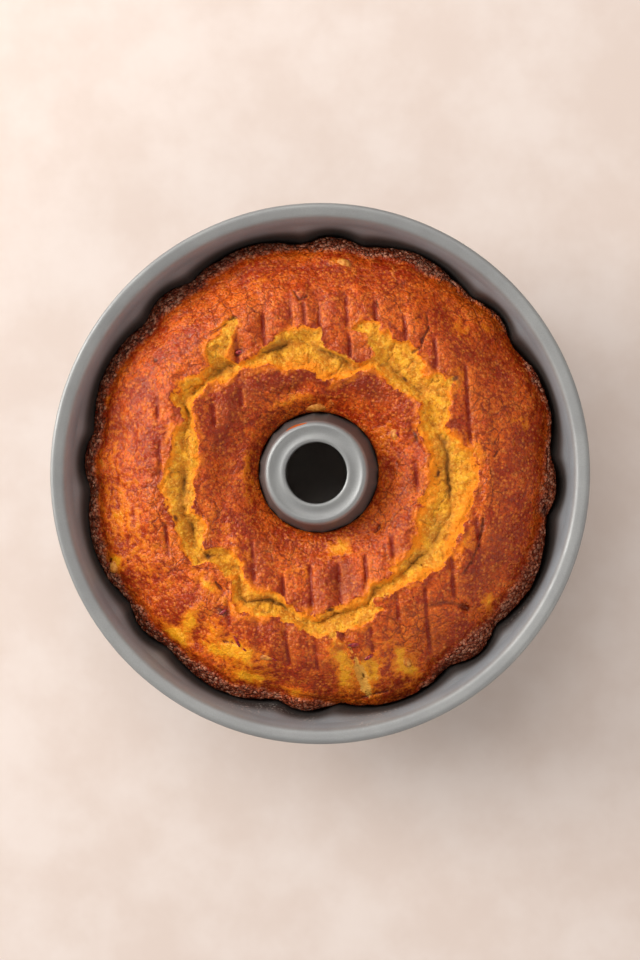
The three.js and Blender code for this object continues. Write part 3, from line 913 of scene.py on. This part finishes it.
def make_cake():
    top_radius, top_height, angle, masks = cake_top()
    points, facing = pan_section()
    under_cake = (points[:, 0] > TUBE_SHOULDER_RADIUS + 1) & (points[:, 1] < EDGE_HEIGHT - 4)
    points, facing = points[under_cake][::4], facing[under_cake][::4]
    shrink = 0.7 + 0.8 * smooth(40, 58, points[:, 1:])
    under_radius, under_height = fluted(points, facing, angle, shrink)
    radius = np.concatenate([top_radius, under_radius[::-1]])
    height = np.concatenate([top_height, under_height[::-1]])
    hidden = np.zeros_like(under_radius)
    for mask in masks:
        fill = {"crumb": -9.0, "scorch": 1.0}.get(mask, 0.0)
        masks[mask] = np.concatenate([masks[mask], hidden + fill])
    cake = ring_mesh("pound_cake", radius, height, angle, masks)
    cake.data.materials.append(cake_material())
    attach(cake, "root")
    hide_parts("cake")

    def cake_height(at_angle, at_radius):
        column = round(at_angle * CAKE_TURNS / 360) % CAKE_TURNS
        return float(np.interp(at_radius, top_radius[:, column], top_height[:, column]))

    return cake_height


def cake_grain(look):
    """The noises that the cake's colours, roughness and relief share, coarse to fine."""
    broad = look.noise(34, detail=3, roughness=0.55)
    grains = look.node("TexVoronoi", {"Vector": look.place, "Scale": 1 / (1.35 * MM)})
    shift = look.node("TexNoise", {"Vector": look.place, "Scale": 1 / (5 * MM), "Detail": 3.0})
    shift = look.node("VectorMath", {0: shift.outputs["Color"], 1: (5 * MM,) * 3}, operation="MULTIPLY")
    bent = look.node("VectorMath", {0: look.place, 1: shift.outputs[0]}).outputs[0]
    crackle = look.step(look.cells(9, "DISTANCE_TO_EDGE", place=bent), 0.05, 0.0)
    return SimpleNamespace(
        broad=broad,
        wide=look.noise(13, detail=3, roughness=0.6),
        mottle=look.noise(3.4, detail=4, roughness=0.65),
        speck=look.noise(1.2, detail=2, roughness=0.6),
        grain=grains.outputs["Distance"],
        shade=look.node("SeparateXYZ", {0: grains.outputs["Color"]}).outputs["X"],
        holes=look.cells(2.9),
        crackle=look.times(crackle, look.step(broad, 0.46, 0.6, 0.75)),
        pores=look.step(look.cells(1.9), 0.32, 0.12),
    )


def crust_tone(look, part):
    browned = look.roughen(look.mask("browned"), part.mottle, 1.6)
    thin = look.roughen(look.mask("thin"), part.mottle, 2.0)
    groove = look.roughen(look.mask("groove"), part.speck, 0.6)
    crust = look.blend(look.step(part.wide, 0.4, 0.62), colour(166, 44, 3), colour(216, 86, 10))
    crust = look.layers(
        crust,
        (part.broad, 0.5, 0.36, 0.55, (142, 32, 2)),
        (part.broad, 0.5, 0.64, 0.5, (234, 110, 18)),
        (part.mottle, 0.5, 0.68, 0.55, (234, 112, 22)),
        (part.mottle, 0.49, 0.34, 0.6, (136, 30, 2)),
        (browned, 0.1, 0.9, 0.8, (122, 26, 2)),
    )
    bright_grain = look.times(look.step(part.grain, 0.75, 0.2), look.step(part.shade, 0.4, 1.0, 0.5))
    crust = look.blend(bright_grain, crust, colour(242, 144, 50))
    crust = look.layers(
        crust,
        (part.grain, 0.5, 0.9, 0.6, (120, 30, 2)),
        (part.speck, 0.5, 0.36, 0.6, (118, 28, 4)),
        (part.holes, 0.16, 0.06, 0.7, (70, 14, 4)),
    )
    crust = look.blend(part.crackle, crust, colour(104, 22, 4))
    crust = look.layers(
        crust,
        (thin, 0.15, 0.55, 0.75, (236, 124, 8)),
        (thin, 0.5, 1.0, 0.9, (244, 164, 26)),
        (groove, 0.15, 0.75, 0.9, (132, 22, 4)),
    )
    # Painted highlight: the soft ridge beside each rack groove is painted pale orange.
    return look.blend(look.times(look.mask("ridge_and_highlight"), 0.5), crust, colour(238, 128, 50))


def scorched_tone(look, part):
    """The scorched band is painted darkest on the left, as shade, and pinkish brown on the right, where it is
    lit, with painted pale pinkish glints on its grains.
    """
    place = look.node("SeparateXYZ", {0: look.place}).outputs
    painted_light_to_right = look.step(look.maths("SUBTRACT", place["X"], place["Y"]), 0.02, 0.12)
    burnt = look.blend(painted_light_to_right, colour(66, 24, 16), colour(116, 42, 24))
    baked = look.blend(painted_light_to_right, colour(168, 82, 54), colour(212, 116, 80))
    return look.layers(
        look.blend(look.step(part.grain, 0.6, 0.15), burnt, baked),
        # painted glints on the grains
        (part.shade, 0.55, 0.95, 0.7, (222, 158, 130)),
        (part.mottle, 0.5, 0.38, 0.65, (60, 20, 14)),
    )


def crumb_tone(look, part):
    toast = look.roughen(look.mask("toast"), part.mottle, 1.4)
    hollow = look.roughen(look.mask("hollow"), part.mottle, 1.6)
    clump = look.step(look.noise(4, detail=4, roughness=0.65), 0.38, 0.66)
    crumb = look.layers(
        look.blend(clump, colour(202, 120, 16), colour(238, 166, 34)),
        (part.speck, 0.5, 0.68, 0.5, (250, 198, 84)),
        (toast, 0.2, 0.85, 0.95, (240, 132, 4)),
    )
    crumb = look.blend(look.mask("pale"), crumb, colour(236, 172, 76))
    # painted shade along the crack's valley
    crumb = look.layers(crumb, (hollow, 0.15, 1.0, 0.6, (166, 108, 34)))
    return look.blend(look.times(part.pores, 0.35), crumb, colour(176, 112, 28))


def cake_material():
    look = Surface("cake_crust", Roughness=0.5, Specular_IOR_Level=0.42, Subsurface_Weight=0.06,
                   Subsurface_Scale=0.0015)
    look.shader.inputs["Subsurface Radius"].default_value = (1.0, 0.45, 0.2)
    look.shader.inputs["Specular Tint"].default_value = (1.0, 0.84, 0.66, 1)
    part = cake_grain(look)
    scorch = look.roughen(look.mask("scorch"), part.mottle, 2.0)
    crust = look.blend(look.step(scorch, 0.1, 1.0, 0.92), crust_tone(look, part), scorched_tone(look, part))

    # the crust's lip at the crack is browned in some places and pale in others
    depth_in = look.mask("crumb")
    ragged = look.roughen(look.roughen(depth_in, part.speck, 2.4), part.mottle, 3.0)
    near_crumb = look.step(ragged, -5.0, -0.3)
    dark_lip = look.times(near_crumb, look.step(part.wide, 0.52, 0.62, 0.75))
    pale_lip = look.times(near_crumb, look.step(part.wide, 0.52, 0.4, 0.85))
    crust = look.blend(dark_lip, crust, colour(132, 26, 2))
    crust = look.blend(pale_lip, crust, colour(238, 124, 14))

    surface = look.blend(look.step(ragged, -0.2, 0.35), crust, crumb_tone(look, part))
    # Painted shade: the cleft, the thin cracks and the crease are painted dark, dark red-brown on the crust
    # and tan in the crumb.
    cleft_shade_colour = look.blend(look.step(depth_in, -1.0, 1.0), colour(92, 20, 6), colour(132, 84, 30))
    surface = look.blend(look.step(look.mask("shaded_cleft"), 0.2, 0.9, 0.8), surface, cleft_shade_colour)
    surface = look.layers(surface, (look.mask("stain"), 0.3, 0.9, 0.8, (64, 26, 26)))
    look.link(surface, "Base Color")

    is_crumb = look.step(ragged, -0.15, 0.3)
    rough_crust = look.step(part.mottle, 0.3, 0.7, 0.4, 0.25)
    rough = look.node("Mix", {0: is_crumb, 2: rough_crust, 3: 0.7}).outputs[0]
    look.link(rough, "Roughness")
    pitted = look.times(look.times(part.pores, is_crumb), -1.0)
    domes = look.times(look.times(part.grain, part.grain), -1.0)
    domes = look.maths("SUBTRACT", domes, look.step(part.holes, 0.2, 0.05, 0.8))
    domes = look.maths("SUBTRACT", domes, part.crackle)
    look.relief([
        (part.mottle, 0.8, 2.1),
        (domes, 0.5, 0.5),
        (look.times(domes, scorch), 0.8, 0.7),
        (pitted, 0.5, 0.6),
        (look.noise(0.55, detail=1), 0.5, 0.22),
    ])
    return look.material


# ---- Peach pieces ----

# Pieces of peach, where the CAD model has them: angle, radius, (length, width, height), turn,
# and how far each stands out of the crust
PEACH_PIECES = [
    (95, 31.8, (11.5, 5, 5), 90 + 95, 0.5), (86.3, 98.8, (9, 5.6, 6), 78 + 86.3, 0.7),
    (207.5, 106.3, (8, 6, 6), 25 + 207.5, 0.8), (298.5, 95.5, (9.5, 5, 5), 8 + 298.5, 0.5),
    (258, 88.3, (8.6, 4.2, 5), 96 + 258, 0.6), (29.5, 40.6, (7, 5, 5), 75 + 29.5, 0.7),
]

# Scraps of skin: angle, radius, length, width, turn
SKIN_SCRAPS = [
    (285.5, 80.8, 5.5, 1.8, 12), (289, 88.3, 4.5, 1.8, 35), (247.5, 86, 8, 1.5, 118),
    (251, 88.6, 2.4, 1.0, 150), (260.5, 88.6, 2.6, 0.9, 160), (28.2, 41.5, 4.0, 1.0, 128),
    (126, 66.7, 3.6, 2.2, 20), (239.3, 77.6, 4.0, 1.4, 40),
]


def lumpy(size, turn, place, seed, count=28):
    """Points and faces of a lumpy oval solid."""
    around = np.arange(count) * 360 / count
    down = np.linspace(4, 176, count // 2)
    turn_grid, down_grid = np.meshgrid(around, down)
    x, y, z = sind(down_grid) * cosd(turn_grid), sind(down_grid) * sind(turn_grid), cosd(down_grid)
    swell = 1 + 0.16 * fractal(2 * x + z, 2 * y - z, 1.3, 2, seed)
    x, y, z = x * swell * size[0] / 2, y * swell * size[1] / 2, z * swell * size[2] / 2
    co = np.stack([
        place[0] + x * cosd(turn) - y * sind(turn),
        place[1] + x * sind(turn) + y * cosd(turn),
        place[2] + z,
    ], axis=-1).reshape(-1, 3)
    rows = len(down)
    grid = np.arange(rows * count).reshape(rows, count)
    beside = np.roll(grid, -1, axis=1)
    quads = np.stack([grid[:-1], grid[1:], beside[1:], beside[:-1]], axis=-1).reshape(-1, 4)
    poles = np.stack([co[:count].mean(axis=0), co[-count:].mean(axis=0)])
    top, bottom = len(co), len(co) + 1
    caps = [(top, *pair, pair[1]) for pair in zip(grid[0], beside[0])]
    caps += [(bottom, *pair, pair[1]) for pair in zip(beside[-1], grid[-1])]
    return np.concatenate([co, poles]), quads, np.array(caps)


def lumpy_object(name, solids):
    """One object from lumpy solids, with triangles round their ends."""
    corners, triangles, start = [], [], 0
    for co, quads, caps in solids:
        corners.append(co)
        triangles += [quads[:, [0, 1, 2]] + start, quads[:, [0, 2, 3]] + start, caps[:, :3] + start]
        start += len(co)
    return mesh_object(name, np.concatenate(corners), np.concatenate(triangles))


def make_peach_pieces(cake_height):
    flesh = peach_material()
    for number, (angle, radius, size, turn, proud) in enumerate(PEACH_PIECES, 1):
        node = f"peach_piece_{number}"
        place = (*at(angle, radius), cake_height(angle, radius) + proud - size[2] / 2)
        piece = lumpy_object(f"peach_chunk_{number}", [lumpy(size, turn, place, 70 + number)])
        piece.data.materials.append(flesh)
        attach(piece, "root")
        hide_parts(node)


def make_peach_skin(cake_height):
    """Scraps of red skin that show in the crust."""
    solids = []
    for number, (angle, radius, length, width, turn) in enumerate(SKIN_SCRAPS):
        place = (*at(angle, radius), cake_height(angle, radius) + 0.1)
        solids.append(lumpy((length, width, 1.2), turn, place, 90 + number, 16))
    scraps = lumpy_object("peach_skin_scraps", solids)
    look = Surface("peach_skin", Roughness=0.3)
    red = look.step(look.noise(1.0, detail=3), 0.4, 0.62)
    tone = look.blend(red, colour(104, 14, 26), colour(176, 46, 40))
    look.link(tone, "Base Color")
    look.relief([(look.noise(0.8, detail=2), 0.5, 0.3)])
    scraps.data.materials.append(look.material)
    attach(scraps, "root")


def peach_material():
    look = Surface("peach_flesh", Roughness=0.55, Specular_IOR_Level=0.25, Subsurface_Weight=0.1,
                   Subsurface_Scale=0.002)
    streak = look.noise(1.6, detail=3)
    blush = look.noise(4, detail=3)
    tone = look.blend(look.step(streak, 0.4, 0.62), colour(190, 106, 30), colour(222, 150, 66))
    tone = look.layers(tone, (blush, 0.55, 0.66, 0.5, (146, 72, 50)))
    look.link(tone, "Base Color")
    look.relief([(streak, 0.5, 0.3)])
    return look.material


make_camera()
make_light()
make_floor()
make_pan()
crust_height = make_cake()
make_peach_pieces(crust_height)
make_peach_skin(crust_height)
